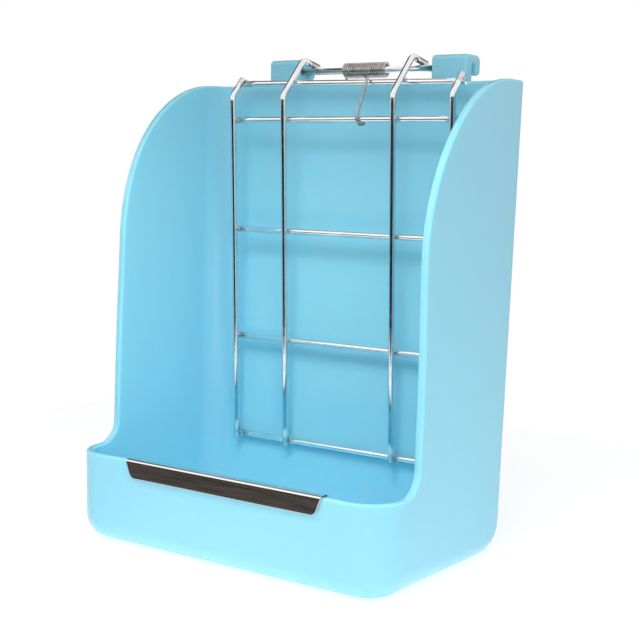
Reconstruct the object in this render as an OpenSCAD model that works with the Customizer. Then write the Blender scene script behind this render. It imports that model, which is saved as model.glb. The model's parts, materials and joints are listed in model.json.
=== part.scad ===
// Hanging hay feeder with a food trough for rabbits and other small pets.
// One moulded body (back panel, two curved side walls, trough, two cage hooks),
// a welded wire gate that swings on a hinge rod between the hooks, a torsion
// spring that closes the gate, and a folded steel chew guard on the trough lip.
// Millimetres. +X right, +Y back, +Z up. The front faces -Y.
// Origin: the middle of the base, on the surface it stands on. Everything is
// drawn with y = 0 in the plane of the rear edges at the top, then shifted.

/* [Body] */
// Height from the standing surface to the top edge
body_h = 213; // [200:1:230]
// Outside width at the top
top_w = 170; // [160:1:180]
// Outside width at the base
base_w = 169; // [164:1:172]
// Depth of the base, from its front to its rear edge
base_d = 102.8; // [98:0.2:108]
// Wall thickness
wall_t = 3.3; // [2.8:0.1:4]
// Radius of the upright front corners
front_corner_r = 18; // [12:1:22]
// Radius that rounds the bottom edges
bottom_r = 10; // [8:0.5:12]

/* [Trough and side walls] */
// Height of the trough lip
lip_h = 41; // [35:1:50]
// Radius of the big curve at the top front of each side wall
shoulder_r = 73; // [60:1:80]
// Setback of the upright front edge of the side walls from the rear plane
side_edge_y = 83; // [75:1:90]
// Radius of the hollow curve from that edge down to the lip
lip_curve_r = 12; // [8:1:18]

/* [Hooks] */
// Distance of the middle of each hook from the centre plane
hook_x = 46.4; // [40:0.2:50]
// Width of a hook
hook_w = 18.4; // [14:0.2:22]
// Height of the hooks over the top edge of the body
hook_h = 13; // [11:0.5:16]
// Width of the slot that takes the cage wire
slot_w = 3.5; // [2.5:0.1:4]

/* [Gate] */
// Diameter of the gate wires
wire_d = 3; // [2.6:0.1:3]
// Distance of the outer uprights from the centre plane
outer_x = 61.4; // [56:0.2:64]
// Distance of the inner uprights from the centre plane
inner_x = 30.7; // [26:0.2:33]
// Diameter of the hinge rod
rod_d = 3; // [2.6:0.1:3.4]

/* [Spring] */
// Diameter of the spring wire
spring_wire_d = 1.2; // [1:0.1:1.5]
// Number of close wound turns
spring_turns = 20; // [12:1:22]

/* [Chew guard] */
// Length of the guard
guard_l = 105; // [90:1:120]
// Height of its front face
guard_h = 8.5; // [6:0.5:12]
// Thickness of its sheet
guard_t = 0.8; // [0.5:0.1:1]
// How far it sits to the right of the middle
guard_x = 3; // [-10:1:10]

/* [Hidden] */
$fn = 64;
// The straight parts of a wire run this far into its bends, which are thicker
// by bend_swell all round, so that they fuse cleanly.
lap = 0.05;
bend_swell = 0.01;
blue = [0.53, 0.80, 0.91];
chrome = [0.80, 0.82, 0.84];
steel = [0.62, 0.60, 0.57];
dark_steel = [0.25, 0.23, 0.22];

// Body. The back panel leans and stands inside the rear edges, so that a shallow
// recess is left behind it. y_at() gives a leaning face's place at a height.
rear_base_y = -7.6;
front_slope = 0.003;
panel_base_y = -11.7;
panel_top_y = -7.3;
panel_t = 3;
ledge_t = 3;
floor_t = 3;
rear_corner_r = 5;
inner_rear_r = 12;
edge_lean = 3;
inner_bottom_r = 7.5;
hull_fn = 32;
foot_land = 0.5;
front_base_y = rear_base_y - base_d;
origin_y = rear_base_y - base_d / 2;
recess_margin = 4.5;
rear_foot_r = 12;
recess_floor = rear_foot_r + 5;
function lean(base, top, z) = base + (top - base) * z / body_h;
function front_y(z) = front_base_y - front_slope * z;
function half_w(z) = lean(base_w / 2, top_w / 2, z);
function panel_y(z) = lean(panel_base_y, panel_top_y, z);

// Hooks
leg_t = 6;
hook_front_y = -1;
slot_y = hook_front_y + leg_t;
rear_leg_y = slot_y + slot_w;
rear_leg_t = 4.5;
bridge_t = 4;
rear_leg_drop = 9;
hook_top_z = body_h + hook_h;
hook_round = 1.5;
hook_foot_z = body_h - 9;
bore_d = rod_d + 0.12;
bore_depth = 6;

// Hinge and gate. The uprights lie in the yz plane; their outline is given as
// corners in (y, z) with a bend radius at each.
rod_y = hook_front_y + leg_t / 2;
rod_z = body_h + 7;
rod_l = 2 * (hook_x - hook_w / 2 + bore_depth) - 0.6;
gate_foot = [-15.72, 35.2];
gate_shoulder = [-23.4, 207.2];
gate_ridge = [-7.2, 224.9];
gate_tail = [5.4, 222.45];
bend_r = 6;
ridge_r = 4;
outer_tail = [-15.6, 215.7];
weld_gap = 0.03;
cross_pitch = wire_d + weld_gap;
cross_over = 1.5;
cross_z = [195.5, 141.7, 87.7, 36.9];
gate_lean = atan2(gate_shoulder[0] - gate_foot[0], gate_shoulder[1] - gate_foot[1]);
slope_dir = (gate_ridge - gate_shoulder) / norm(gate_ridge - gate_shoulder);
slope_back = [slope_dir[1], -slope_dir[0]];
top_cross = gate_shoulder + slope_dir * 9.6 + slope_back * cross_pitch;
function upright_y(z) = gate_foot[0] + (z - gate_foot[1]) * tan(gate_lean);
function cross_y(z) = upright_y(z) + cross_pitch / cos(gate_lean);

// Spring. Its coil turns on the hinge rod. The gate leg crosses over the top
// cross wire and catches the upper cross wire from the front.
spring_pitch = spring_wire_d + 0.02;
spring_l = spring_turns * spring_pitch;
spring_r = 3.2;
gate_leg_start = 2;
gate_leg_x = 13.5;
fixed_turns = 2;
fixed_l = fixed_turns * spring_pitch;
catch_r = wire_d / 2 + spring_wire_d / 2 + 0.05;
leg_bend_r = 1.6;
catch_lead = 0.8;

// Chew guard
guard_clear = 0.12;
guard_inner_h = 6;
guard_taper = 4;

function unit(v) = v / norm(v);
function dir_in(p, i) = unit(p[i] - p[i - 1]);
function turn(p, i) = acos(dir_in(p, i) * dir_in(p, i + 1));
function cut(p, i, r) = r[i] == 0 ? 0 : r[i] * tan(turn(p, i) / 2);

// Round wire through the points p, with a bend of radius r[i] at each corner
module bent_wire(p, r, d) {
    last = len(p) - 1;
    for (i = [1 : last])
        bar(p[i - 1] + dir_in(p, i) * (cut(p, i - 1, r) - (i > 1 ? lap : 0)),
            p[i] - dir_in(p, i) * (cut(p, i, r) - (i < last ? lap : 0)), d);
    for (i = [1 : last - 1])
        bend(p[i] - dir_in(p, i) * cut(p, i, r), dir_in(p, i), dir_in(p, i + 1), r[i], d);
}

// Straight part of a wire
module bar(from, to, d) {
    run = to - from;
    translate(from)
    rotate([0, acos(run[2] / norm(run)), atan2(run[1], run[0])])
    cylinder(h = norm(run), d = d);
}

// Bend of a wire that starts at a point going one way and ends going another
module bend(start, way_in, way_out, r, d) {
    axis = unit(cross(way_in, way_out));
    arm = cross(way_in, axis);
    middle = start - r * arm;
    multmatrix([[arm[0], way_in[0], axis[0], middle[0]],
        [arm[1], way_in[1], axis[1], middle[1]],
        [arm[2], way_in[2], axis[2], middle[2]]])
    rotate_extrude(angle = acos(way_in * way_out))
    translate([r, 0])
    circle(d = d + 2 * bend_swell);
}

// Moves a finished sub-part so that the origin is the middle of the base
module placed() {
    translate([0, -origin_y, 0]) children();
}

// Puts a shape drawn in (y, z) into the upright plane at x
module upright_plane(x) {
    translate([x, 0, 0]) rotate([90, 0, 90]) children();
}

// Upright corner post with a rounded foot, leaning to its place at the top
module corner_foot(r, edge_r) {
    rotate_extrude($fn = hull_fn) {
        translate([0, edge_r]) square([r, foot_land]);
        square([r - edge_r, edge_r]);
        translate([r - edge_r, edge_r]) intersection() {
            circle(r = edge_r, $fn = hull_fn);
            translate([0, -edge_r]) square(edge_r);
        }
    }
}

// Solid block of the body's outer form, or of its hollow when inset by t. Its
// upright faces lean evenly from the top of the feet to just under the top.
module tub(t, bottom, front_r, rear_r, edge_r, base_rear, top_rear) {
    low = bottom + edge_r + foot_land;
    high = body_h + (t > 0 ? 5 : 0) - foot_land;
    hull() {
        for (side = [-1, 1]) {
            tub_corner(side, low, t, front_r, front_y(low) + t + front_r)
                translate([0, 0, bottom - low]) corner_foot(front_r, edge_r);
            tub_corner(side, low, t, rear_r, lean(base_rear, top_rear, low) - rear_r)
                translate([0, 0, bottom - low]) corner_foot(rear_r, min(edge_r, rear_r - 0.5));
            tub_corner(side, high, t, front_r, front_y(high) + t + front_r)
                cylinder(h = foot_land, r = front_r, $fn = hull_fn);
            tub_corner(side, high, t, rear_r, lean(base_rear, top_rear, high) - rear_r)
                cylinder(h = foot_land, r = rear_r, $fn = hull_fn);
        }
    }
}

// Puts a corner post of radius r at height z, its side face t inside the outside
module tub_corner(side, z, t, r, y) {
    translate([side * (half_w(z) - t - r), y, z]) children();
}

// Side view of the body in (y, z): trough below, side walls with the big shoulder
module side_outline() {
    shoulder_y = shoulder_r - side_edge_y + edge_lean;
    shoulder_z = body_h - shoulder_r;
    edge_foot_z = lip_h + lip_curve_r;
    difference() {
        union() {
            translate([-140, -1]) square([141, lip_h + 1]);
            polygon([[1, 0], [-side_edge_y - lip_curve_r, 0], [-side_edge_y - lip_curve_r, lip_h],
                [-side_edge_y, edge_foot_z], [shoulder_y - shoulder_r, shoulder_z],
                [shoulder_y, shoulder_z], [shoulder_y, body_h], [1, body_h]]);
            translate([shoulder_y, shoulder_z]) circle(r = shoulder_r, $fn = 128);
            translate([-side_edge_y - lip_curve_r, lip_h - 1])
                square([lip_curve_r, 1 + lip_curve_r]);
        }
        translate([-side_edge_y - lip_curve_r, edge_foot_z]) circle(r = lip_curve_r);
        rear_foot_cut();
    }
}

// What the rounded foot takes off the lower rear corner, in (y, z)
module rear_foot_cut() {
    difference() {
        translate([rear_base_y - rear_foot_r, -1]) square([rear_foot_r + 5, rear_foot_r + 1]);
        translate([rear_base_y - rear_foot_r, rear_foot_r]) circle(r = rear_foot_r);
    }
}

// Side view of one hook in (y, z)
module hook_outline() {
    difference() {
        union() {
            translate([hook_front_y, hook_foot_z])
                square([leg_t, hook_top_z - hook_round - hook_foot_z]);
            translate([hook_front_y + hook_round, hook_top_z - bridge_t])
                square([leg_t + slot_w + rear_leg_t - 2 * hook_round, bridge_t]);
            translate([rear_leg_y, hook_top_z - rear_leg_drop])
                square([rear_leg_t, rear_leg_drop - hook_round]);
            translate([hook_front_y + hook_round, hook_top_z - hook_round])
                circle(r = hook_round);
            translate([rear_leg_y + rear_leg_t - hook_round, hook_top_z - hook_round])
                circle(r = hook_round);
            translate([hook_front_y - 4, body_h - ledge_t])
                square([5, ledge_t]);
        }
        translate([slot_y, hook_top_z - rear_leg_drop - 1])
            square([slot_w, rear_leg_drop + 1 - bridge_t]);
    }
}

module body() {
    color(blue)
    placed()
    difference() {
        union() {
            intersection() {
                difference() {
                    tub(0, 0, front_corner_r, rear_corner_r, bottom_r, rear_base_y, 0);
                    tub(wall_t, floor_t, front_corner_r - wall_t, inner_rear_r,
                        inner_bottom_r, panel_base_y, panel_top_y);
                    rear_recess();
                }
                upright_plane(-100) linear_extrude(200) side_outline();
            }
            for (side = [-1, 1])
                upright_plane(side * hook_x - hook_w / 2)
                    linear_extrude(hook_w) hook_outline();
        }
        for (side = [-1, 1])
            translate([side * (hook_x - hook_w / 2), rod_y, rod_z])
            rotate([0, side * 90, 0])
            translate([0, 0, -1])
            cylinder(h = bore_depth + 1, d = bore_d);
    }
}

// Shallow recess behind the back panel
module rear_recess() {
    low = recess_floor;
    high = body_h - ledge_t;
    upright_plane(-(base_w / 2 - recess_margin))
    linear_extrude(base_w - 2 * recess_margin)
    polygon([[panel_y(low) + panel_t, low], [1, low], [1, high], [panel_y(high) + panel_t, high]]);
}

// Folded steel channel over the middle of the trough lip
module chew_guard() {
    lean_angle = atan(front_slope);
    outside = wall_t + 2 * guard_clear + 2 * guard_t;
    color(dark_steel)
    placed()
    translate([guard_x, front_y(lip_h) - guard_clear - guard_t, lip_h + guard_clear + guard_t])
    rotate([lean_angle, 0, 0])
    difference() {
        translate([-guard_l / 2, 0, -guard_h]) cube([guard_l, outside, guard_h]);
        translate([-guard_l / 2 - 1, guard_t, -guard_h - 1])
            cube([guard_l + 2, outside - 2 * guard_t, guard_h + 1 - guard_t]);
        translate([-guard_l / 2 - 1, outside - guard_t - 1, -guard_h - 1])
            cube([guard_l + 2, guard_t + 2, guard_h + 1 - guard_inner_h]);
        for (side = [-1, 1])
            translate([side * guard_l / 2, -1, -guard_h])
            rotate([0, side * -25, 0])
            translate([-guard_taper, 0, -guard_h])
            cube([2 * guard_taper, outside + 2, guard_h]);
    }
}

module hinge_rod() {
    color(chrome)
    placed()
    translate([-rod_l / 2, rod_y, rod_z])
    rotate([0, 90, 0])
    cylinder(h = rod_l, d = rod_d);
}

// Outer upright: from the bottom cross wire up to just past the top cross wire
module outer_wire(side) {
    color(chrome)
    placed()
    bent_wire([for (p = [gate_foot, gate_shoulder, outer_tail]) [side * outer_x, p[0], p[1]]],
        [0, bend_r, 0], wire_d);
}

// Inner upright: it goes on over the ridge and down on to the hinge rod
module inner_wire(side) {
    color(chrome)
    placed()
    bent_wire([for (p = [gate_foot, gate_shoulder, gate_ridge, gate_tail])
        [side * inner_x, p[0], p[1]]], [0, bend_r, ridge_r, 0], wire_d);
}

module cross_wire(y, z) {
    color(chrome)
    placed()
    translate([-outer_x - cross_over, y, z])
    rotate([0, 90, 0])
    cylinder(h = 2 * (outer_x + cross_over), d = wire_d);
}

module outer_wire_left() { outer_wire(-1); }
module outer_wire_right() { outer_wire(1); }
module inner_wire_left() { inner_wire(-1); }
module inner_wire_right() { inner_wire(1); }
module cross_wire_top() { cross_wire(top_cross[0], top_cross[1]); }
module cross_wire_upper() { cross_wire(cross_y(cross_z[0]), cross_z[0]); }
module cross_wire_middle() { cross_wire(cross_y(cross_z[1]), cross_z[1]); }
module cross_wire_lower() { cross_wire(cross_y(cross_z[2]), cross_z[2]); }
module cross_wire_bottom() { cross_wire(cross_y(cross_z[3]), cross_z[3]); }

// Close wound coil as a plain sleeve
module coil(length) {
    rotate([0, 90, 0])
    rotate_extrude()
    translate([spring_r - spring_wire_d / 2, 0])
    square([spring_wire_d, length]);
}

// Coil and gate leg of the torsion spring, which turn with the gate. The leg
// leaves the coil below the rod and ends in a small hook.
module torsion_spring() {
    over = [gate_leg_x, top_cross[0] - 1.9, top_cross[1] + catch_r + 0.7];
    catch = [gate_leg_x - 1.5, cross_y(cross_z[0]), cross_z[0]];
    color(steel)
    placed() {
        translate([-spring_l / 2 + fixed_l, rod_y, rod_z]) coil(spring_l - fixed_l);
        bent_wire([[gate_leg_start, rod_y, rod_z - spring_r - 0.1], over,
            catch + [0, -catch_r - catch_lead, -catch_r],
            catch + [0, catch_r, -catch_r], catch + [0, catch_r, 1.2]],
            [0, leg_bend_r, 1, 1, 0], spring_wire_d);
    }
}

// Last turns and fixed leg of the spring: the leg bears on the body's rear edge
module spring_fixed_leg() {
    leg_x = -spring_l / 2 + fixed_l / 2;
    color(steel)
    placed() {
        translate([-spring_l / 2, rod_y, rod_z]) coil(fixed_l - 0.05);
        bent_wire([[leg_x, rod_y + spring_r - 0.2, rod_z - 1.3],
            [leg_x, spring_wire_d / 2 + 0.1, body_h - 1.4]], [0, 0], spring_wire_d);
    }
}

body();
chew_guard();
hinge_rod();
outer_wire_left();
outer_wire_right();
inner_wire_left();
inner_wire_right();
cross_wire_top();
cross_wire_upper();
cross_wire_middle();
cross_wire_lower();
cross_wire_bottom();
torsion_spring();
spring_fixed_leg();
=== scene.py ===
"""Hay feeder with trough: moulded body, chew guard, welded wire gate, spring."""

import json
import math

import bmesh
import bpy
import numpy as np
from mathutils import Matrix, Vector


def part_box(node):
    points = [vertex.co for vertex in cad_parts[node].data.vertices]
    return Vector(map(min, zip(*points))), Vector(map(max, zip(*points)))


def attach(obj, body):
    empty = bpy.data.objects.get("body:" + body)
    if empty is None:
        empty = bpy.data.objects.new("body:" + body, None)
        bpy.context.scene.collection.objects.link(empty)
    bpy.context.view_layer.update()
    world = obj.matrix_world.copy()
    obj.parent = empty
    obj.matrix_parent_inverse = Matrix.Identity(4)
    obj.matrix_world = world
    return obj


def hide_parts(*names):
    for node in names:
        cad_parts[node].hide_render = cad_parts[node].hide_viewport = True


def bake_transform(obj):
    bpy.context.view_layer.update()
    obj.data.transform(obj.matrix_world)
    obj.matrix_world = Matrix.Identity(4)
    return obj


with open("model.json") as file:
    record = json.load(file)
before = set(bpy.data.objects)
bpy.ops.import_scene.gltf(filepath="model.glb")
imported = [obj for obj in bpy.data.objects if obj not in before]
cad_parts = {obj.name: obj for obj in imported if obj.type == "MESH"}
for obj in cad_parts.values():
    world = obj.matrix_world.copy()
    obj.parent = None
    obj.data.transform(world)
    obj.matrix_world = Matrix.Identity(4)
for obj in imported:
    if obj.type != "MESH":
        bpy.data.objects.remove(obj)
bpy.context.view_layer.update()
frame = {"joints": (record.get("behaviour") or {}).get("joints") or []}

# Lengths below are in millimetres. They are drawn as in the CAD model, with y = 0
# in the plane of the rear edges at the top; at() puts a point in the row frame.
MM = 0.001
ROD_Y = 2.0
ROD = Vector(frame["joints"][0]["pos_m"]) / MM
REAR = ROD.y - ROD_Y


def at(x, y, z):
    return Vector((x * MM, (y + REAR) * MM, z * MM))


def node_mid(name):
    """Middle of a CAD node in the drawing's millimetres."""
    lo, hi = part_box(name)
    mid = (lo + hi) / 2 / MM
    return Vector((mid.x, mid.y - REAR, mid.z))


# ------------------------------------------------------------------ dimensions
HEIGHT = 213.0
WALL = 3.5
FLOOR = 3.0
LIP = 41.0
CORNER_R = 17.2
REAR_R = 3.5
INNER_REAR_R = 12.0
INNER_FOOT_R = 8.5
REAR_FOOT_R = 12.0
RIM_R = 1.1
SHOULDER = (-12.0, 135.0, 68.5, 78.0)  # centre y and z, half axes in y and z
EDGE_FOOT_Y = -82.5
HOLLOW_R = 10.5
FRONT_FOOT_R = 11.5
SIDE_FOOT_R = 8.75
PANEL = 3.0
SKEW_Y = -40.0  # in front of this the rim's inner and outer edges run level

BASE_HALF_W = 84.5
FLARE = 0.5  # how much further out each side wall stands at the top
FRONT_BASE_Y = -110.4
FRONT_SLOPE = 0.003
REAR_LEAN = 7.6  # how much further forward the rear edges stand at the base
PANEL_BASE_Y = -11.7
PANEL_LEAN = 4.4
BOW = (1.2, 142.0, 38.0)  # how far the side walls bow in, at what height, and its spread

HOOK_X = 46.4
HOOK_W = 18.4


def half_w(z):
    return BASE_HALF_W + FLARE * z / HEIGHT


def front_y(z):
    return FRONT_BASE_Y - FRONT_SLOPE * z


def rear_y(z):
    return REAR_LEAN * (z / HEIGHT - 1)


def panel_y(z):
    return PANEL_BASE_Y + PANEL_LEAN * z / HEIGHT


# ------------------------------------------------------------------ mesh helpers
class Skin:
    """Collects patches of points in millimetres and welds them into one mesh."""

    def __init__(self):
        self.points = []
        self.faces = []

    def add(self, rows):
        start = len(self.points)
        self.points += [tuple(p) for p in rows]
        return list(range(start, len(self.points)))

    def grid(self, rows, closed=False):
        """Quads between rows of points. closed joins each row's ends."""
        ids = [self.add(row) for row in rows]
        for a, b in zip(ids, ids[1:]):
            n = len(a)
            for i in range(n if closed else n - 1):
                j = (i + 1) % n
                self.faces.append((a[i], a[j], b[j], b[i]))

    def polygon(self, loop):
        self.faces.append(tuple(self.add(loop)))

    def mesh(self, name, weld=0.03):
        """One smooth shaded mesh, in which points closer than weld become one."""
        bm = bmesh.new()
        verts = [bm.verts.new(at(*p)) for p in self.points]
        for f in self.faces:
            if len(set(f)) > 2:
                bm.faces.new([verts[i] for i in f])
        bmesh.ops.remove_doubles(bm, verts=bm.verts, dist=weld * MM)
        bmesh.ops.dissolve_degenerate(bm, edges=bm.edges, dist=0.002 * MM)
        bmesh.ops.recalc_face_normals(bm, faces=bm.faces)
        mesh = bpy.data.meshes.new(name)
        bm.to_mesh(mesh)
        bm.free()
        for poly in mesh.polygons:
            poly.use_smooth = True
        obj = bpy.data.objects.new(name, mesh)
        bpy.context.scene.collection.objects.link(obj)
        return obj


def apply_modifiers(obj):
    graph = bpy.context.evaluated_depsgraph_get()
    mesh = bpy.data.meshes.new_from_object(obj.evaluated_get(graph))
    obj.modifiers.clear()
    obj.data = mesh
    return obj


def weighted_normals(obj):
    """Large flat faces keep their own direction, so rounded edges shade cleanly."""
    mod = obj.modifiers.new("normals", "WEIGHTED_NORMAL")
    mod.weight = 80
    mod.keep_sharp = True
    return apply_modifiers(obj)


def steps(a, b, n):
    return [a + (b - a) * i / n for i in range(n + 1)]


def quarter(n):
    return steps(0.0, math.pi / 2, n)


# ------------------------------------------------------------------ body
ROUND = 5  # steps round a small edge
ARC = 10  # steps round an upright corner


def shoulder_point(t):
    cy, cz, a, b = SHOULDER
    return cy - a * math.sin(t), cz + b * math.cos(t)


def shoulder_inward(t):
    cy, cz, a, b = SHOULDER
    v = Vector((0, math.sin(t) / a, -math.cos(t) / b))
    return v.normalized()


def top_edge(y):
    """Height of the rim at y, and the way into the wall, behind the shoulder's front."""
    cy, cz, a, b = SHOULDER
    t = math.asin(min(1.0, max(0.0, (cy - y) / a)))
    return shoulder_point(t)[1], shoulder_inward(t)


def side_stations():
    """(y, z, way into the wall) along one side wall's rim, from back to front."""
    out = [(y, HEIGHT, Vector((0, 0, -1))) for y in (-REAR_R, -8.0)]
    for t in steps(0.0, math.pi / 2, 30):
        out.append((*shoulder_point(t), shoulder_inward(t)))
    y0, z0 = shoulder_point(math.pi / 2)
    z1 = LIP + HOLLOW_R
    run = Vector((0, EDGE_FOOT_Y - y0, z1 - z0)).normalized()
    inward = Vector((0, -run.z, run.y))
    for f in (0.25, 0.5, 0.75, 1.0):
        out.append((y0 + (EDGE_FOOT_Y - y0) * f, z0 + (z1 - z0) * f, inward))
    cy, cz = EDGE_FOOT_Y - HOLLOW_R, LIP + HOLLOW_R
    for t in quarter(12)[1:]:
        p = cy + HOLLOW_R * math.cos(t), cz - HOLLOW_R * math.sin(t)
        out.append((*p, Vector((0, math.cos(t), -math.sin(t)))))
    return out


def inner_y(y):
    """Where the rim's inner edge starts: the inner rear corner is larger."""
    if y < SKEW_Y:
        return y
    start = panel_y(HEIGHT) - INNER_REAR_R
    return SKEW_Y + (y - SKEW_Y) * (start - SKEW_Y) / (-REAR_R - SKEW_Y)


class Edge:
    """A rim station: the outer and inner corner points and their directions."""

    def __init__(self, po, no, bo, pi, ni, bi):
        self.po, self.no, self.bo = Vector(po), Vector(no), bo
        self.pi, self.ni, self.bi = Vector(pi), Vector(ni), bi

    def mirrored(self):
        def flip(v):
            return Vector((-v.x, v.y, v.z))

        return Edge(*[flip(v) for v in (self.po, self.no, self.bo, self.pi, self.ni, self.bi)])

    def outer(self, t):
        centre = self.po + self.bo * RIM_R - self.no * RIM_R
        return centre + (self.no * math.cos(t) - self.bo * math.sin(t)) * RIM_R

    def inner(self, t):
        centre = self.pi + self.bi * RIM_R - self.ni * RIM_R
        return centre + (self.ni * math.cos(t) - self.bi * math.sin(t)) * RIM_R


DOWN = Vector((0, 0, -1))
FRONT_STATIONS = 12
LEDGE_STATIONS = 12


def rim_side():
    out = []
    for y, z, inward in side_stations():
        yi = inner_y(y)
        if y >= SKEW_Y:
            zi, bi = top_edge(yi)
        else:
            zi, bi = z, inward
        out.append(
            Edge((half_w(z), y, z), (1, 0, 0), inward, (half_w(zi) - WALL, yi, zi), (-1, 0, 0), bi)
        )
    return out


def front_corner(z, r):
    """Points and outward directions round the right front corner at height z."""
    c = Vector((half_w(z) - CORNER_R, front_y(z) + CORNER_R, z))
    out = []
    for t in quarter(ARC):
        d = Vector((math.cos(t), -math.sin(t), 0))
        out.append((c + d * r, d))
    return out


def rim_corner():
    outer = front_corner(LIP, CORNER_R)
    inner = front_corner(LIP, CORNER_R - WALL)
    return [Edge(po, d, DOWN, pi, -d, DOWN) for (po, d), (pi, _) in zip(outer, inner)]


def front_xs(z):
    w = half_w(z) - CORNER_R
    return steps(w, -w, FRONT_STATIONS)


def rim_front():
    y = front_y(LIP)
    return [
        Edge((x, y, LIP), (0, -1, 0), DOWN, (x, y + WALL, LIP), (0, 1, 0), DOWN)
        for x in front_xs(LIP)
    ]


def inner_rear_corner(z):
    """Points of the right inner rear corner from the side wall to the panel."""
    c = Vector((half_w(z) - WALL - INNER_REAR_R, panel_y(z) - INNER_REAR_R, z))
    out = []
    for t in quarter(ARC):
        d = Vector((math.cos(t), math.sin(t), 0))
        out.append((c + d * INNER_REAR_R, d))
    return out


def rim_rear_corner():
    """From the side wall to the ledge, on the right."""
    c = Vector((half_w(HEIGHT) - REAR_R, rear_y(HEIGHT) - REAR_R, HEIGHT))
    out = []
    for t, (pi, d) in zip(quarter(ARC), inner_rear_corner(HEIGHT)):
        zi, bi = top_edge(pi.y)
        n = Vector((math.cos(t), math.sin(t), 0))
        out.append(Edge(c + n * REAR_R, n, DOWN, (pi.x, pi.y, zi), -d, bi))
    return out


def ledge():
    wo = half_w(HEIGHT) - REAR_R
    wi = half_w(HEIGHT) - WALL - INNER_REAR_R
    out = []
    for f in steps(1.0, -1.0, LEDGE_STATIONS):
        po = (wo * f, rear_y(HEIGHT), HEIGHT)
        pi = (wi * f, panel_y(HEIGHT), HEIGHT)
        out.append(Edge(po, (0, 1, 0), DOWN, pi, (0, -1, 0), DOWN))
    return out


REAR_EDGE_Z = (HEIGHT - RIM_R, 160.0, 110.0, 60.0, REAR_FOOT_R + 4.0)
REAR_FOOT_STEPS = 12


def foot_stations():
    """(centre, wall direction, other direction, radius) round the right half's lower
    edge: down the rear edge, round the rear foot, forward to the front corner."""
    x, down, back = Vector((1, 0, 0)), Vector((0, 0, -1)), Vector((0, 1, 0))
    out = []
    for z in REAR_EDGE_Z:
        out.append((Vector((half_w(z) - REAR_R, rear_y(z) - REAR_R, z)), x, back, REAR_R))
    cy = rear_y(0) - REAR_FOOT_R
    for t in steps(math.pi / 2, 0.0, REAR_FOOT_STEPS):
        n = back * math.sin(t) + down * math.cos(t)
        r = REAR_R + (SIDE_FOOT_R - REAR_R) * math.cos(t)
        p = Vector((0, cy, REAR_FOOT_R)) + n * (REAR_FOOT_R - r)
        p.x = half_w(p.z) - r
        out.append((p, x, n, r))
    y_end = front_y(FRONT_FOOT_R) + CORNER_R
    for f in steps(0.0, 1.0, 8)[1:]:
        ease = f * f * (3 - 2 * f)
        r = SIDE_FOOT_R + (FRONT_FOOT_R - SIDE_FOOT_R) * ease
        out.append((Vector((half_w(r) - r, cy + (y_end - cy) * f, r)), x, down, r))
    return out


def foot_corner():
    r = FRONT_FOOT_R
    return [(p, d, DOWN, r) for p, d in front_corner(r, CORNER_R - r)]


def foot_row(stations, t):
    return [c + (n * math.cos(t) + m * math.sin(t)) * r for c, n, m, r in stations]


def flip_x(points):
    return [Vector((-p.x, p.y, p.z)) for p in points]


def rounded_loop(w, z0, z1, r):
    """((x, z), way into the opening) round a rounded rectangle, from its upper right."""
    out = []
    for i, (sx, sz) in enumerate(((1, 1), (1, -1), (-1, -1), (-1, 1))):
        cx = sx * (w - r)
        cz = (z1 - r) if sz > 0 else (z0 + r)
        for t in quarter(ROUND):
            a = math.pi / 2 - t - i * math.pi / 2
            d = (math.cos(a), math.sin(a))
            out.append(((cx + r * d[0], cz + r * d[1]), (-d[0], -d[1])))
    return out


RECESS_EDGE = 4.6  # width of the rear frame at the sides
RECESS_R = 5.0
RECESS_Z = (17.0, 209.5)
RECESS_LIP_R = 0.8
RECESS_FOOT_R = 1.6


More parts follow.
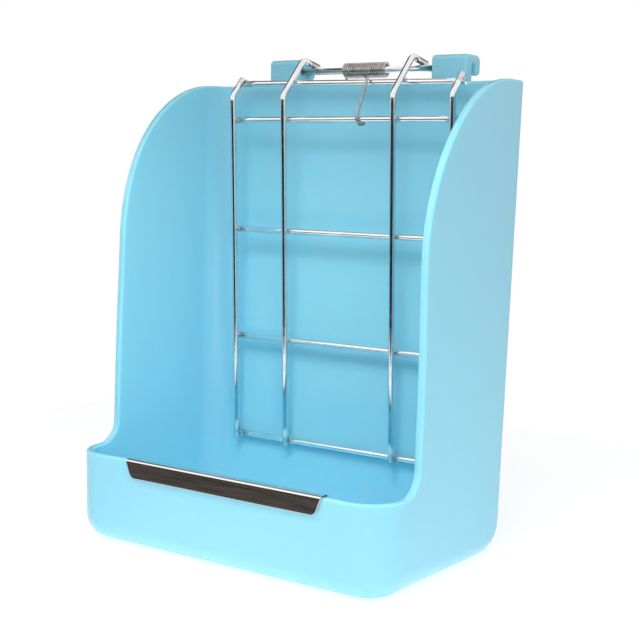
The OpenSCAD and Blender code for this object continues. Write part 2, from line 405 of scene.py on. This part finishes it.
def body_shell():
    skin = Skin()
    side, corner = rim_side(), rim_corner()
    front, rear, back = rim_front(), rim_rear_corner(), ledge()
    left = [e.mirrored() for e in reversed(side)]
    left_corner = [e.mirrored() for e in reversed(corner)]
    left_rear = [e.mirrored() for e in rear]
    right = side + corner
    loop = right + front[1:] + left_corner[1:] + left + left_rear[1:]
    loop += [e for e in reversed(back)][1:] + [e for e in reversed(rear)][1:-1]
    rows = [[e.outer(t) for e in loop] for t in quarter(ROUND)]
    rows += [[e.inner(t) for e in loop] for t in reversed(quarter(ROUND))]
    skin.grid(rows, closed=True)

    # Outside: the lower edge, then the walls between it and the rim.
    foot, foot_c = foot_stations(), foot_corner()
    w = half_w(FRONT_FOOT_R) - CORNER_R
    foot_y = front_y(FRONT_FOOT_R) + FRONT_FOOT_R
    foot_f = [
        (Vector((x, foot_y, FRONT_FOOT_R)), Vector((0, -1, 0)), DOWN, FRONT_FOOT_R)
        for x in steps(w, -w, FRONT_STATIONS)
    ]
    strip = []
    for t in quarter(6):
        half = foot_row(foot, t) + foot_row(foot_c, t)[1:]
        strip.append(half + foot_row(foot_f, t)[1:-1] + list(reversed(flip_x(half))))
    skin.grid(strip)
    wall = [e.outer(0) for e in side + corner[:1]] + list(reversed(foot_row(foot, 0)[1:]))
    skin.polygon(wall)
    skin.polygon(flip_x(wall))
    turn = [[e.outer(0) for e in corner], foot_row(foot_c, 0)]
    skin.grid(turn)
    skin.grid([flip_x(row) for row in turn])
    skin.grid([[e.outer(0) for e in front], foot_row(foot_f, 0)])

    # Underside, rounded rear foot and the rear frame round the recess.
    last = foot_row(foot, math.pi / 2)
    n_rear = len(REAR_EDGE_Z)
    arc = last[n_rear - 1 : n_rear + REAR_FOOT_STEPS + 1]
    skin.grid([arc, flip_x(arc)])
    base = last[n_rear + REAR_FOOT_STEPS :] + foot_row(foot_c, math.pi / 2)[1:]
    base += foot_row(foot_f, math.pi / 2)[1:-1] + list(reversed(flip_x(base)))
    skin.polygon(base)
    opening = rounded_loop(half_w(100) - RECESS_EDGE, *RECESS_Z, RECESS_R)
    rows = []
    for t in quarter(3):
        row = []
        for (x, z), (mx, mz) in opening:
            k = RECESS_LIP_R * (math.sin(t) - 1)
            y = rear_y(z) - RECESS_LIP_R * (1 - math.cos(t))
            row.append((x + mx * k, y, z + mz * k))
        rows.append(row)
    for t in quarter(3):
        row = []
        for (x, z), (mx, mz) in opening:
            k = RECESS_FOOT_R * (1 - math.cos(t))
            y = panel_y(z) + PANEL + RECESS_FOOT_R * (1 - math.sin(t))
            row.append((x + mx * k, y, z + mz * k))
        rows.append(row)
    skin.grid(rows, closed=True)
    skin.polygon(rows[-1])
    inner = [Vector(p) for p in rows[0]]
    n = len(inner) // 4
    tr, br, bl, tl = [inner[i * n : (i + 1) * n] for i in range(4)]
    mid = n // 2
    top_row = [e.outer(0) for e in back]
    skin.polygon(top_row + tl[mid:] + tr[: mid + 1])
    rear_col = last[:n_rear]
    skin.polygon(rear_col + list(reversed(tr[mid:] + br[: mid + 1])))
    skin.polygon(flip_x(rear_col) + bl[mid:] + tl[: mid + 1])
    low = [rear_col[-1], flip_x(rear_col)[-1]]
    skin.polygon(low + list(reversed(br[mid:] + bl[: mid + 1])))

    # Inside: floor fillet, then the walls between it and the rim.
    fz = FLOOR + INNER_FOOT_R
    rear_in = [(p, -d) for p, d in inner_rear_corner(fz)]
    corner_in = [(p, -d) for p, d in front_corner(fz, CORNER_R - WALL)]
    wf = half_w(fz) - CORNER_R
    front_in = [
        (Vector((x, front_y(fz) + WALL, fz)), Vector((0, 1, 0)))
        for x in steps(wf, -wf, FRONT_STATIONS)
    ]
    wr = half_w(fz) - WALL - INNER_REAR_R
    rear_row = [
        (Vector((x, panel_y(fz), fz)), Vector((0, -1, 0)))
        for x in steps(wr, -wr, LEDGE_STATIONS)
    ]

    def foot_in(stations, t):
        r = INNER_FOOT_R
        return [p + n * r * (1 - math.cos(t)) + DOWN * r * math.sin(t) for p, n in stations]

    rows = []
    for t in quarter(5):
        half = list(reversed(foot_in(rear_in, t))) + foot_in(corner_in, t)
        row = half + foot_in(front_in, t)[1:-1] + list(reversed(flip_x(half)))
        rows.append(row + list(reversed(foot_in(rear_row, t)[1:-1])))
    skin.grid(rows, closed=True)
    skin.polygon(rows[-1])
    turn = [[e.inner(0) for e in corner], foot_in(corner_in, 0)]
    skin.grid(turn)
    skin.grid([flip_x(row) for row in turn])
    turn = [[e.inner(0) for e in rear], foot_in(rear_in, 0)]
    skin.grid(turn)
    skin.grid([flip_x(row) for row in turn])
    skin.grid([[e.inner(0) for e in front], foot_in(front_in, 0)])
    skin.grid([[e.inner(0) for e in back], foot_in(rear_row, 0)])
    wall = [e.inner(0) for e in side + corner[:1]]
    wall += [foot_in(corner_in, 0)[0], foot_in(rear_in, 0)[0]]
    skin.polygon(wall)
    skin.polygon(flip_x(wall))
    return bowed(skin.mesh("body_shell"))


def bowed(obj):
    """Cuts the flat walls into cells, then bows the side walls in a little."""
    bm = bmesh.new()
    bm.from_mesh(obj.data)
    cuts = [((0, 0, z * MM), (0, 0, 1)) for z in steps(20.0, 204.0, 16)]
    cuts += [((0, (y + REAR) * MM, 0), (0, 1, 0)) for y in steps(-90.0, -20.0, 7)]
    for place, way in cuts:
        geom = bm.verts[:] + bm.edges[:] + bm.faces[:]
        bmesh.ops.bisect_plane(bm, geom=geom, dist=1e-6, plane_co=place, plane_no=way)
    amount, middle, spread = BOW
    for v in bm.verts:
        y, z = v.co.y / MM - REAR, v.co.z / MM
        f = min(1.0, max(0.0, (-10.0 - y) / 70))
        k = f * f * (3 - 2 * f) * math.exp(-(((z - middle) / spread) ** 2))
        v.co.x -= math.copysign(amount * k * MM, v.co.x)
    bm.to_mesh(obj.data)
    bm.free()
    return obj


def extruded(name, outline, x0, x1, bevel):
    """A (y, z) outline drawn out along x, with its edges rounded."""
    skin = Skin()
    a = [(x0, y, z) for y, z in outline]
    b = [(x1, y, z) for y, z in outline]
    skin.polygon(a)
    skin.polygon(b)
    skin.grid([a, b], closed=True)
    obj = skin.mesh(name)
    mod = obj.modifiers.new("round", "BEVEL")
    mod.width = bevel * MM
    mod.segments = 3
    mod.limit_method = "ANGLE"
    mod.angle_limit = math.radians(40)
    return apply_modifiers(obj)


def arc_points(cy, cz, r, a0, a1, n=6):
    return [(cy + r * math.cos(a), cz + r * math.sin(a)) for a in steps(a0, a1, n)]


def hook_outline():
    """Front leg, bridge and rear leg over the slot for the cage wire."""
    half, full = math.pi / 2, math.pi
    foot, top = HEIGHT - 9.0, HEIGHT + 13.0
    low, slot_top = top - 9.2, top - 3.8
    front, slot_front, slot_rear, rear = -1.0, 5.0, 8.5, 13.0
    slot_r = (slot_rear - slot_front) / 2
    tip_front_r, tip_rear_r, rear_r, front_r = 1.2, 1.8, 3.0, 2.2
    out = [(front, foot), (slot_front - 2.0, foot), (slot_front, foot + 3.0)]
    out += arc_points(slot_front + slot_r, slot_top - slot_r, slot_r, full, 0.0, 8)
    out += arc_points(slot_rear + tip_front_r, low + tip_front_r, tip_front_r, full, 1.5 * full, 4)
    out += arc_points(rear - tip_rear_r, low + tip_rear_r, tip_rear_r, 1.5 * full, 2 * full, 4)
    out += arc_points(rear - rear_r, top - rear_r, rear_r, 0.0, half)
    out += arc_points(front + front_r, top - front_r, front_r, half, full)
    return out


def cylinder(name, start, end, r):
    sides = 32
    axis = (Vector(end) - Vector(start)).normalized()
    u = axis.orthogonal().normalized()
    v = axis.cross(u)
    ring = [(u * math.cos(a) + v * math.sin(a)) * r for a in steps(0, 2 * math.pi, sides)[:-1]]
    skin = Skin()
    a = [Vector(start) + p for p in ring]
    b = [Vector(end) + p for p in ring]
    skin.grid([a, b], closed=True)
    skin.polygon(a)
    skin.polygon(b)
    return skin.mesh(name)


def combine(obj, other, operation):
    mod = obj.modifiers.new("join", "BOOLEAN")
    mod.operation = operation
    mod.solver = "EXACT"
    mod.object = other
    apply_modifiers(obj)
    bpy.data.objects.remove(other)


def make_body():
    """The shell, with a hook and a blind bore for the hinge rod on each side."""
    hook_bevel, bore_r, bore_depth = 1.3, 1.6, 6
    body = body_shell()
    for side in (-1, 1):
        x0, x1 = side * HOOK_X - HOOK_W / 2, side * HOOK_X + HOOK_W / 2
        combine(body, extruded("hook", hook_outline(), x0, x1, hook_bevel), "UNION")
    for side in (-1, 1):
        face = side * (HOOK_X - HOOK_W / 2)
        start, end = (face - side, ROD_Y, ROD.z), (face + side * bore_depth, ROD_Y, ROD.z)
        combine(body, cylinder("bore", start, end, bore_r), "DIFFERENCE")
    body.name = "feeder_body"
    return weighted_normals(body)


# ------------------------------------------------------------------ wires
def wire_path(points, radii, step=0.35):
    """Points along a wire with rounded bends."""
    pts = [Vector(p) for p in points]
    out = [pts[0]]
    for i in range(1, len(pts) - 1):
        a = (pts[i] - pts[i - 1]).normalized()
        b = (pts[i + 1] - pts[i]).normalized()
        turn = a.angle(b)
        if turn < 1e-4 or radii[i] == 0:
            out.append(pts[i])
            continue
        cut = radii[i] * math.tan(turn / 2)
        axis = a.cross(b).normalized()
        start = pts[i] - a * cut
        centre = start + axis.cross(a) * radii[i]
        n = max(4, int(turn * radii[i] / step))
        for k in range(n + 1):
            out.append(centre + Matrix.Rotation(turn * k / n, 3, axis) @ (start - centre))
    out.append(pts[-1])
    return out


def tube(name, path, r, sides=20, end_round=0.25):
    """A round wire along a path, with slightly rounded cut ends."""
    path = [Vector(p) for p in path]
    tangents = []
    for i in range(len(path)):
        a = path[max(i - 1, 0)]
        b = path[min(i + 1, len(path) - 1)]
        tangents.append((b - a).normalized())
    normal = tangents[0].orthogonal().normalized()
    rows = []
    frames = []
    for i, p in enumerate(path):
        if i:
            normal = tangents[i - 1].rotation_difference(tangents[i]) @ normal
            normal = (normal - tangents[i] * normal.dot(tangents[i])).normalized()
        frames.append((p, tangents[i], normal.copy()))

    def ring(p, t, n, radius):
        m = t.cross(n)
        angles = steps(0, 2 * math.pi, sides)[:-1]
        return [p + (n * math.cos(a) + m * math.sin(a)) * radius for a in angles]

    e = end_round
    p, t, n = frames[0]
    for a in quarter(3):
        rows.append(ring(p + t * e * (1 - math.sin(a)), t, n, r - e + e * math.sin(a)))
    rows += [ring(p, t, n, r) for p, t, n in frames[1:-1]]
    p, t, n = frames[-1]
    for a in reversed(quarter(3)):
        rows.append(ring(p - t * e * (1 - math.sin(a)), t, n, r - e + e * math.sin(a)))
    skin = Skin()
    skin.grid(rows, closed=True)
    skin.polygon(rows[0])
    skin.polygon(rows[-1])
    return skin.mesh(name, weld=0.001)


WIRE_R = 1.5
CELL = 9.0
# Corners of the uprights, as (y, z)
FOOT = (-15.72, 35.2)
TURN = (-23.4, 207.2)
RIDGE = (-7.2, 224.9)
TAIL = (5.4, 222.45)
OUTER_END = (-15.6, 215.7)
TURN_R = 6
RIDGE_R = 4
CROSS_WORDS = ("top", "upper", "middle", "lower", "bottom")
ASKEW_REACH = 60.0


def densify(path):
    """More points on straight runs, so that a wire's faces aren't long and thin."""
    out = [path[0]]
    for a, b in zip(path, path[1:]):
        n = max(1, int((b - a).length / CELL))
        out += [a.lerp(b, k / n) for k in range(1, n + 1)]
    return out


def upright(name, x, ends, radii):
    path = wire_path([(x, y, z) for y, z in ends], radii)
    return tube(name, densify(path), WIRE_R)


def cross_at(word, x):
    """A cross wire's centre at x. The top one is welded askew: its left end is high."""
    p = node_mid("cross_wire_" + word)
    p.x = x
    if word == "top":
        p += Vector((0, 0.9, 1.3)) * ((ASKEW_REACH - x) / (2 * ASKEW_REACH))
    return p


def make_gate():
    made = []
    for side, word in ((-1, "left"), (1, "right")):
        node = "outer_wire_" + word
        x = node_mid(node).x
        wire = upright("gate_outer_wire_" + word, x, [FOOT, TURN, OUTER_END], [0, TURN_R, 0])
        made.append((wire, node))
        node = "inner_wire_" + word
        x = node_mid(node).x
        ends = [FOOT, TURN, RIDGE, TAIL]
        wire = upright("gate_inner_wire_" + word, x, ends, [0, TURN_R, RIDGE_R, 0])
        made.append((wire, node))
    for word in CROSS_WORDS:
        node = "cross_wire_" + word
        lo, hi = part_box(node)
        path = densify([cross_at(word, lo.x / MM), cross_at(word, hi.x / MM)])
        made.append((tube("gate_" + node, path, WIRE_R), node))
    lo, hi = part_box("hinge_rod")
    rod = [(lo.x / MM, ROD_Y, ROD.z), (hi.x / MM, ROD_Y, ROD.z)]
    made.append((tube("gate_hinge_rod", rod, 1.5, sides=28, end_round=0.4), "hinge_rod"))
    return made


def bead(skin, centre, size, axis_turn, rng):
    """A small lumpy weld bead."""
    rings, sides = 7, 12
    lump = rng.uniform(0.88, 1.12, (rings + 1, sides))
    rows = []
    for i in range(1, rings):
        t = math.pi * i / rings
        row = []
        for j in range(sides):
            a = 2 * math.pi * j / sides
            k = lump[i][j]
            p = Vector(
                (
                    size[0] * math.sin(t) * math.cos(a) * k,
                    size[1] * math.sin(t) * math.sin(a) * k,
                    size[2] * math.cos(t),
                )
            )
            row.append(centre + axis_turn @ p)
        rows.append(row)
    skin.grid(rows, closed=True)
    for row, sign in ((rows[0], 1), (rows[-1], -1)):
        pole = centre + axis_turn @ Vector((0, 0, sign * size[2]))
        ids = skin.add(row)
        tip = skin.add([pole])[0]
        for j in range(sides):
            skin.faces.append((ids[j], ids[(j + 1) % sides], tip))


def make_welds():
    """A flat bead in each crossing and a lump beside it, and one bead on each tail."""
    top_slope = -0.72
    rng = np.random.default_rng(7)
    skin = Skin()
    uprights = [node_mid(f"{k}_wire_{s}").x for k in ("outer", "inner") for s in ("left", "right")]
    lean = math.atan2(TURN[0] - FOOT[0], TURN[1] - FOOT[1])
    for word in CROSS_WORDS:
        for x in sorted(uprights):
            mid = cross_at(word, x)
            if word == "top":
                slope, touch = top_slope, Vector((x, mid.y - 1.1, mid.z + 1.0))
            else:
                slope, touch = lean, Vector((x, mid.y - 1.45, mid.z))
            turn = Matrix.Rotation(-slope, 3, "X")
            shift = Vector((1.5 + rng.uniform(-0.2, 0.2), 0.15, rng.uniform(-0.3, 0.1)))
            if x == max(uprights):
                shift.x = -shift.x
            size = (1.15 + rng.uniform(-0.1, 0.15), 0.9, 1.0 + rng.uniform(-0.1, 0.2))
            bead(skin, touch + shift, size, turn, rng)
            bead(skin, touch, (1.5, 0.6, 1.5), turn, rng)
    for word in ("left", "right"):
        x = node_mid("inner_wire_" + word).x
        centre = Vector((x, ROD_Y + 0.4, ROD.z + 1.5))
        bead(skin, centre, (1.7, 1.3, 0.7), Matrix.Rotation(0.25, 3, "X"), rng)
    return skin.mesh("gate_weld_beads", weld=0.0005)


COIL_R = 3.15
SPRING_R = 0.58  # thinner than the leg, so that the turns show
LEG_R = 0.65
TURNS = 20
COIL_HALF = 12.0


def spring_path():
    """The fixed leg, then the close wound coil."""
    per = 26  # points on each turn
    pitch = 2 * COIL_HALF / TURNS
    path = []
    start = math.radians(-40)  # angle from straight back, in the yz plane
    last = TURNS * per - per // 4  # the last turn ends under the rod
    for i in range(last + 1):
        a = start + 2 * math.pi * i / per
        x = -COIL_HALF + pitch * i / per
        y = ROD_Y + COIL_R * math.cos(a)
        z = ROD.z + COIL_R * math.sin(a)
        path.append(Vector((x, y, z)))
    first = path[0]
    leg = [
        Vector((first.x - 0.2, 0.75, HEIGHT - 1.6)),
        Vector((first.x - 0.1, 1.5, HEIGHT + 1.2)),
    ]
    return leg + path


def gate_leg_path():
    """From under the coil, over the top cross wire, round the one below it."""
    catch = node_mid("cross_wire_upper")
    over = cross_at("top", 12.8)
    points = [
        (-0.4, ROD_Y + 0.9, ROD.z - COIL_R),
        (0.6, ROD_Y - 1.2, ROD.z - COIL_R - 0.25),
        (12.8, over.y - 2.6, over.z + 2.6),
        (10.4, catch.y - 2.5, catch.z + 0.2),
        (11.3, catch.y - 1.4, catch.z - 2.5),
        (12.4, catch.y + 1.3, catch.z - 2.2),
        (12.7, catch.y + 2.2, catch.z + 1.3),
    ]
    return wire_path(points, [0, 1, 2.0, 0.9, 0.9, 0.9, 0], step=0.25)


def make_spring():
    coil = tube("torsion_spring_coil", spring_path(), SPRING_R, sides=10, end_round=0.1)
    leg = tube("torsion_spring_leg", gate_leg_path(), LEG_R, sides=12, end_round=0.1)
    return coil, leg


# ------------------------------------------------------------------ chew guard
def make_guard():
    """A folded channel over the lip, tapered at its ends and with rounded corners."""
    lo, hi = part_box("chew_guard")
    half = (hi.x - lo.x) / 2 / MM
    middle = (hi.x + lo.x) / 2 / MM
    height, inner, thick, bend, taper = 8.5, 6.0, 0.8, 1.5, 3.2
    front_r, rear_r = 2.2, 1.0
    lean = math.atan(FRONT_SLOPE)
    gap = 0.12
    depth = WALL + 2 * gap + 2 * thick
    inside = []
    outside = [(0.0, up - height) for up in (0.0, 0.15, 0.5, 1.0, 1.6, 2.4)]
    outside += [(0.0, -3.0), (0.0, -bend)]
    outside += [(bend * (1 - math.cos(t)), -bend + bend * math.sin(t)) for t in quarter(6)[1:]]
    outside += [(depth - bend * (1 - math.sin(t)), -bend + bend * math.cos(t)) for t in quarter(6)]
    outside += [(depth, -3.0), (depth, -inner + 1.0), (depth, -inner + 0.3), (depth, -inner)]
    for i, (y, z) in enumerate(outside):
        if y == 0.0:
            inside.append((thick, z))
        elif y == depth:
            inside.append((depth - thick, z))
        else:
            cy = bend if y < depth / 2 else depth - bend
            d = Vector((y - cy, z + bend)).normalized()
            k = bend - thick
            inside.append((cy + d.x * k, -bend + d.y * k))

    def reach(y, z):
        """Half the channel's length at this place in its outline."""
        low, r = (height, front_r) if y < depth / 2 else (inner, rear_r)
        end = half - taper * max(0.0, -z - 1.0) / height
        up = z + low
        if up < r:
            end -= r - math.sqrt(max(0.0, r * r - (r - up) ** 2))
        return end

    def place(x, y, z):
        c, s = math.cos(lean), math.sin(lean)
        y2, z2 = y * c - z * s, y * s + z * c
        return (middle + x, front_y(LIP) - gap - thick + y2, LIP + gap + thick + z2)

    columns = steps(-1.0, 1.0, 24)
    skin = Skin()
    out_rows = [[place(reach(y, z) * f, y, z) for f in columns] for y, z in outside]
    in_rows = [
        [place(reach(*outside[i]) * f, y, z) for f in columns] for i, (y, z) in enumerate(inside)
    ]
    skin.grid(out_rows)
    skin.grid(in_rows)
    skin.grid([out_rows[0], in_rows[0]])
    skin.grid([out_rows[-1], in_rows[-1]])
    for k in (0, -1):
        skin.grid([[r[k] for r in out_rows], [r[k] for r in in_rows]])
    obj = skin.mesh("chew_guard_strip", weld=0.001)
    mod = obj.modifiers.new("round", "BEVEL")
    mod.width = 0.25 * MM
    mod.segments = 2
    mod.limit_method = "ANGLE"
    mod.angle_limit = math.radians(50)
    apply_modifiers(obj)
    weighted_normals(obj)
    return obj


# ------------------------------------------------------------------ materials
class Nodes:
    """Short hand for building a node material."""

    def __init__(self, name):
        self.material = bpy.data.materials.new(name)
        self.material.use_nodes = True
        self.tree = self.material.node_tree
        self.shader = self.tree.nodes["Principled BSDF"]

    def add(self, kind, **values):
        node = self.tree.nodes.new(kind)
        for key, value in values.items():
            if key in node.inputs:
                node.inputs[key].default_value = value
            else:
                setattr(node, key, value)
        return node

    def link(self, a, b):
        self.tree.links.new(a, b)

    def noise(self, scale, detail=2.0, stretch=(1, 1, 1)):
        place = self.add("ShaderNodeTexCoord")
        turn = self.add("ShaderNodeMapping")
        turn.inputs["Scale"].default_value = stretch
        tex = self.add("ShaderNodeTexNoise", Scale=scale, Detail=detail)
        self.link(place.outputs["Object"], turn.inputs["Vector"])
        self.link(turn.outputs["Vector"], tex.inputs["Vector"])
        return tex

    def ramp(self, source, low, high):
        """Spreads a noise's middle values over low to high."""
        node = self.add("ShaderNodeMapRange")
        node.inputs["From Min"].default_value = 0.3
        node.inputs["From Max"].default_value = 0.7
        node.inputs["To Min"].default_value = low
        node.inputs["To Max"].default_value = high
        self.link(source, node.inputs["Value"])
        return node.outputs["Result"]

    def colours(self, source, a, b):
        node = self.add("ShaderNodeMix", data_type="RGBA")
        node.inputs["A"].default_value = (*a, 1)
        node.inputs["B"].default_value = (*b, 1)
        self.link(source, node.inputs["Factor"])
        self.link(node.outputs["Result"], self.shader.inputs["Base Color"])

    def bump(self, source, strength, distance):
        node = self.add("ShaderNodeBump", Strength=strength, Distance=distance)
        self.link(source, node.inputs["Height"])
        self.link(node.outputs["Normal"], self.shader.inputs["Normal"])


def plastic():
    m = Nodes("moulded_plastic")
    m.shader.inputs["IOR"].default_value = 1.48
    m.shader.inputs["Specular IOR Level"].default_value = 0.5
    m.shader.inputs["Subsurface Weight"].default_value = 0.7
    m.shader.inputs["Subsurface Radius"].default_value = (0.5, 1.0, 1.1)
    m.shader.inputs["Subsurface Scale"].default_value = 0.005
    cloud = m.noise(9.0, 2.0)
    m.colours(m.ramp(cloud.outputs["Fac"], 0, 1), (0.287, 0.66, 0.80), (0.305, 0.672, 0.81))
    m.link(m.ramp(m.noise(60.0, 3.0).outputs["Fac"], 0.18, 0.24), m.shader.inputs["Roughness"])
    m.bump(m.noise(1500.0, 2.0).outputs["Fac"], 0.02, 0.0001)
    return m.material


def plated_wire():
    m = Nodes("plated_wire")
    m.shader.inputs["Metallic"].default_value = 1.0
    tone = m.noise(120.0, 3.0)
    m.colours(m.ramp(tone.outputs["Fac"], 0, 1), (0.80, 0.80, 0.80), (0.90, 0.89, 0.88))
    m.link(m.ramp(m.noise(260.0, 4.0).outputs["Fac"], 0.05, 0.16), m.shader.inputs["Roughness"])
    m.bump(m.noise(900.0, 3.0).outputs["Fac"], 0.04, 0.0002)
    return m.material


def weld_metal():
    m = Nodes("weld_metal")
    m.shader.inputs["Metallic"].default_value = 1.0
    tone = m.noise(500.0, 3.0)
    m.colours(m.ramp(tone.outputs["Fac"], 0, 1), (0.30, 0.29, 0.28), (0.72, 0.70, 0.68))
    m.link(m.ramp(tone.outputs["Fac"], 0.18, 0.42), m.shader.inputs["Roughness"])
    m.bump(m.noise(1400.0, 3.0).outputs["Fac"], 0.3, 0.0003)
    return m.material


def spring_wire():
    m = Nodes("spring_wire")
    m.shader.inputs["Metallic"].default_value = 1.0
    tone = m.noise(300.0, 3.0)
    m.colours(m.ramp(tone.outputs["Fac"], 0, 1), (0.36, 0.34, 0.32), (0.56, 0.53, 0.50))
    m.link(m.ramp(m.noise(500.0, 3.0).outputs["Fac"], 0.16, 0.28), m.shader.inputs["Roughness"])
    return m.material


BRUSHED = (60, 6000, 6000)  # noise drawn out along x


def brushed_dark():
    m = Nodes("brushed_dark_steel")
    m.shader.inputs["Metallic"].default_value = 1.0
    m.shader.inputs["Anisotropic"].default_value = 0.5
    lines = m.noise(1.0, 3.0, stretch=BRUSHED)
    m.colours(m.ramp(lines.outputs["Fac"], 0, 1), (0.02, 0.016, 0.014), (0.10, 0.085, 0.075))
    m.link(m.ramp(lines.outputs["Fac"], 0.28, 0.42), m.shader.inputs["Roughness"])
    m.bump(lines.outputs["Fac"], 0.15, 0.0001)
    return m.material


# Painted highlight: a bright steel for the guard's top bend, standing in for the overhead light's
# reflection.
def painted_highlight():
    m = Nodes("painted_highlight_steel")
    m.shader.inputs["Metallic"].default_value = 1.0
    lines = m.noise(1.0, 3.0, stretch=BRUSHED)
    m.colours(m.ramp(lines.outputs["Fac"], 0, 1), (0.80, 0.76, 0.71), (0.95, 0.93, 0.90))
    m.link(m.ramp(lines.outputs["Fac"], 0.16, 0.26), m.shader.inputs["Roughness"])
    return m.material


def add_painted_highlight(obj):
    """Painted highlight: faces turned up, along the guard's top bend, get a bright steel that
    stands in for the overhead light's reflection. Faces turned down, except the flat ones, get the
    same bright steel. The flat faces stay dark.
    """
    obj.data.materials.append(painted_highlight())
    for poly in obj.data.polygons:
        up = poly.normal.z
        if up > 0.2 or (abs(poly.normal.y) < 0.97 and up < -0.1):
            poly.material_index = 1


def paint(obj, material, body):
    obj.data.materials.clear()
    obj.data.materials.append(material)
    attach(obj, body)
    return obj


# ------------------------------------------------------------------ build
blue, wire_metal = plastic(), plated_wire()
body = paint(make_body(), blue, "holder")
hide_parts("body")
guard = paint(make_guard(), brushed_dark(), "holder")
# The guard's top bend gets a painted highlight.
add_painted_highlight(guard)
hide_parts("chew_guard")
for piece, node in make_gate():
    paint(piece, wire_metal, "gate")
    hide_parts(node)
paint(make_welds(), weld_metal(), "gate")
coil, leg = make_spring()
steel = spring_wire()
coil.data.materials.append(steel)
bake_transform(coil)
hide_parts("spring_fixed_leg")
paint(leg, steel, "gate")
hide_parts("torsion_spring")


# ------------------------------------------------------------------ stage
def make_floor():
    """White and faintly glowing. It is small, so that the wires reflect the dark round it."""
    mesh = bpy.data.meshes.new("floor")
    s = 0.32
    mesh.from_pydata([(-s, -s, 0), (s, -s, 0), (s, s, 0), (-s, s, 0)], [], [(0, 1, 2, 3)])
    obj = bpy.data.objects.new("floor", mesh)
    bpy.context.scene.collection.objects.link(obj)
    m = Nodes("floor_white")
    m.shader.inputs["Base Color"].default_value = (0.68, 0.68, 0.68, 1)
    m.shader.inputs["Roughness"].default_value = 0.9
    m.shader.inputs["Emission Color"].default_value = (1, 1, 1, 1)
    m.shader.inputs["Emission Strength"].default_value = 0.62
    obj.data.materials.append(m.material)
    obj.location.z = -0.0002


def soft_box(name, place, target, width, height, power):
    light = bpy.data.lights.new(name, "AREA")
    light.shape = "RECTANGLE"
    light.size, light.size_y = width, height
    light.energy = power
    obj = bpy.data.objects.new(name, light)
    bpy.context.scene.collection.objects.link(obj)
    obj.location = place
    obj.rotation_euler = (Vector(target) - Vector(place)).to_track_quat("-Z", "Y").to_euler()
    return obj


ROOM_LIGHT = 0.36


def make_world():
    """Soft even light. Polished metal sees white with a few dark gaps in it."""
    world = bpy.data.worlds.new("studio")
    world.use_nodes = True
    bpy.context.scene.world = world
    tree = world.node_tree
    back = tree.nodes["Background"]
    place = tree.nodes.new("ShaderNodeTexCoord").outputs["Generated"]

    def smooth(source, start, end, before, after):
        node = tree.nodes.new("ShaderNodeMapRange")
        node.interpolation_type = "SMOOTHSTEP"
        values = {"From Min": start, "From Max": end, "To Min": before, "To Max": after}
        for key, value in values.items():
            node.inputs[key].default_value = value
        tree.links.new(source, node.inputs["Value"])
        return node.outputs["Result"]

    def patch(way, start, end, level):
        """White, turning to level where the direction comes close to way."""
        dot = tree.nodes.new("ShaderNodeVectorMath")
        dot.operation = "DOT_PRODUCT"
        dot.inputs[1].default_value = way
        tree.links.new(place, dot.inputs[0])
        return smooth(dot.outputs["Value"], start, end, 1.0, level)

    def mix(factor, a, b):
        node = tree.nodes.new("ShaderNodeMix")
        tree.links.new(factor, node.inputs["Factor"])
        for socket, value in ((node.inputs["A"], a), (node.inputs["B"], b)):
            if isinstance(value, float):
                socket.default_value = value
            else:
                tree.links.new(value, socket)
        return node.outputs["Result"]

    def times(a, b):
        node = tree.nodes.new("ShaderNodeMath")
        node.operation = "MULTIPLY"
        tree.links.new(a, node.inputs[0])
        tree.links.new(b, node.inputs[1])
        return node.outputs["Value"]

    split = tree.nodes.new("ShaderNodeSeparateXYZ")
    tree.links.new(place, split.inputs[0])
    front = patch((-0.10, -0.995, 0.0), 0.50, 0.62, 0.02)
    overhead = patch((-0.75, 0.10, 0.65), 0.88, 0.94, 0.03)
    behind = patch((-0.55, 0.83, 0.05), 0.80, 0.90, 0.10)
    seen = mix(smooth(split.outputs["Z"], 0.0, 0.12, 0.0, 1.0), front, overhead)
    seen = times(seen, behind)
    path = tree.nodes.new("ShaderNodeLightPath")
    light = mix(path.outputs["Is Glossy Ray"], ROOM_LIGHT, seen)
    tree.links.new(mix(path.outputs["Is Camera Ray"], light, 1.0), back.inputs["Strength"])
    back.inputs["Color"].default_value = (1, 1, 1, 1)


def make_camera():
    place = at(330.887, -521.212, 169.632)
    yaw, pitch, roll = math.radians(34.118), math.radians(6.561), math.radians(1.355)
    way = Vector(
        (-math.sin(yaw) * math.cos(pitch), math.cos(yaw) * math.cos(pitch), -math.sin(pitch))
    )
    right = Vector((math.cos(yaw), math.sin(yaw), 0))
    up = right.cross(way)
    r = right * math.cos(roll) + up * math.sin(roll)
    u = up * math.cos(roll) - right * math.sin(roll)
    turn = Matrix((r, u, -way)).transposed()
    data = bpy.data.cameras.new("camera")
    data.sensor_width = 36
    data.lens = 71.13
    data.clip_start = 0.01
    cam = bpy.data.objects.new("camera", data)
    bpy.context.scene.collection.objects.link(cam)
    cam.matrix_world = Matrix.Translation(place) @ turn.to_4x4()
    bpy.context.scene.camera = cam


make_floor()
make_world()
make_camera()
middle = (0, 0, 0.12)
soft_box("key", (-0.9, -0.8, 1.1), middle, 1.2, 1.2, 1)
fill = soft_box("fill", (0.45, -0.75, 0.9), middle, 1.0, 1.0, 5.6)
side = soft_box("side", (0.6, -0.3, 0.08), (0, 0, 0.06), 0.3, 0.3, 0.95)
top = soft_box("top", (0.03, -0.13, 0.32), (0, -0.01, 0), 0.16, 0.1, 0.125)
top.data.spread = math.radians(75)
for lamp in (fill, side, top):
    lamp.visible_glossy = False
    lamp.visible_camera = False
bpy.context.scene.view_settings.view_transform = "Standard"
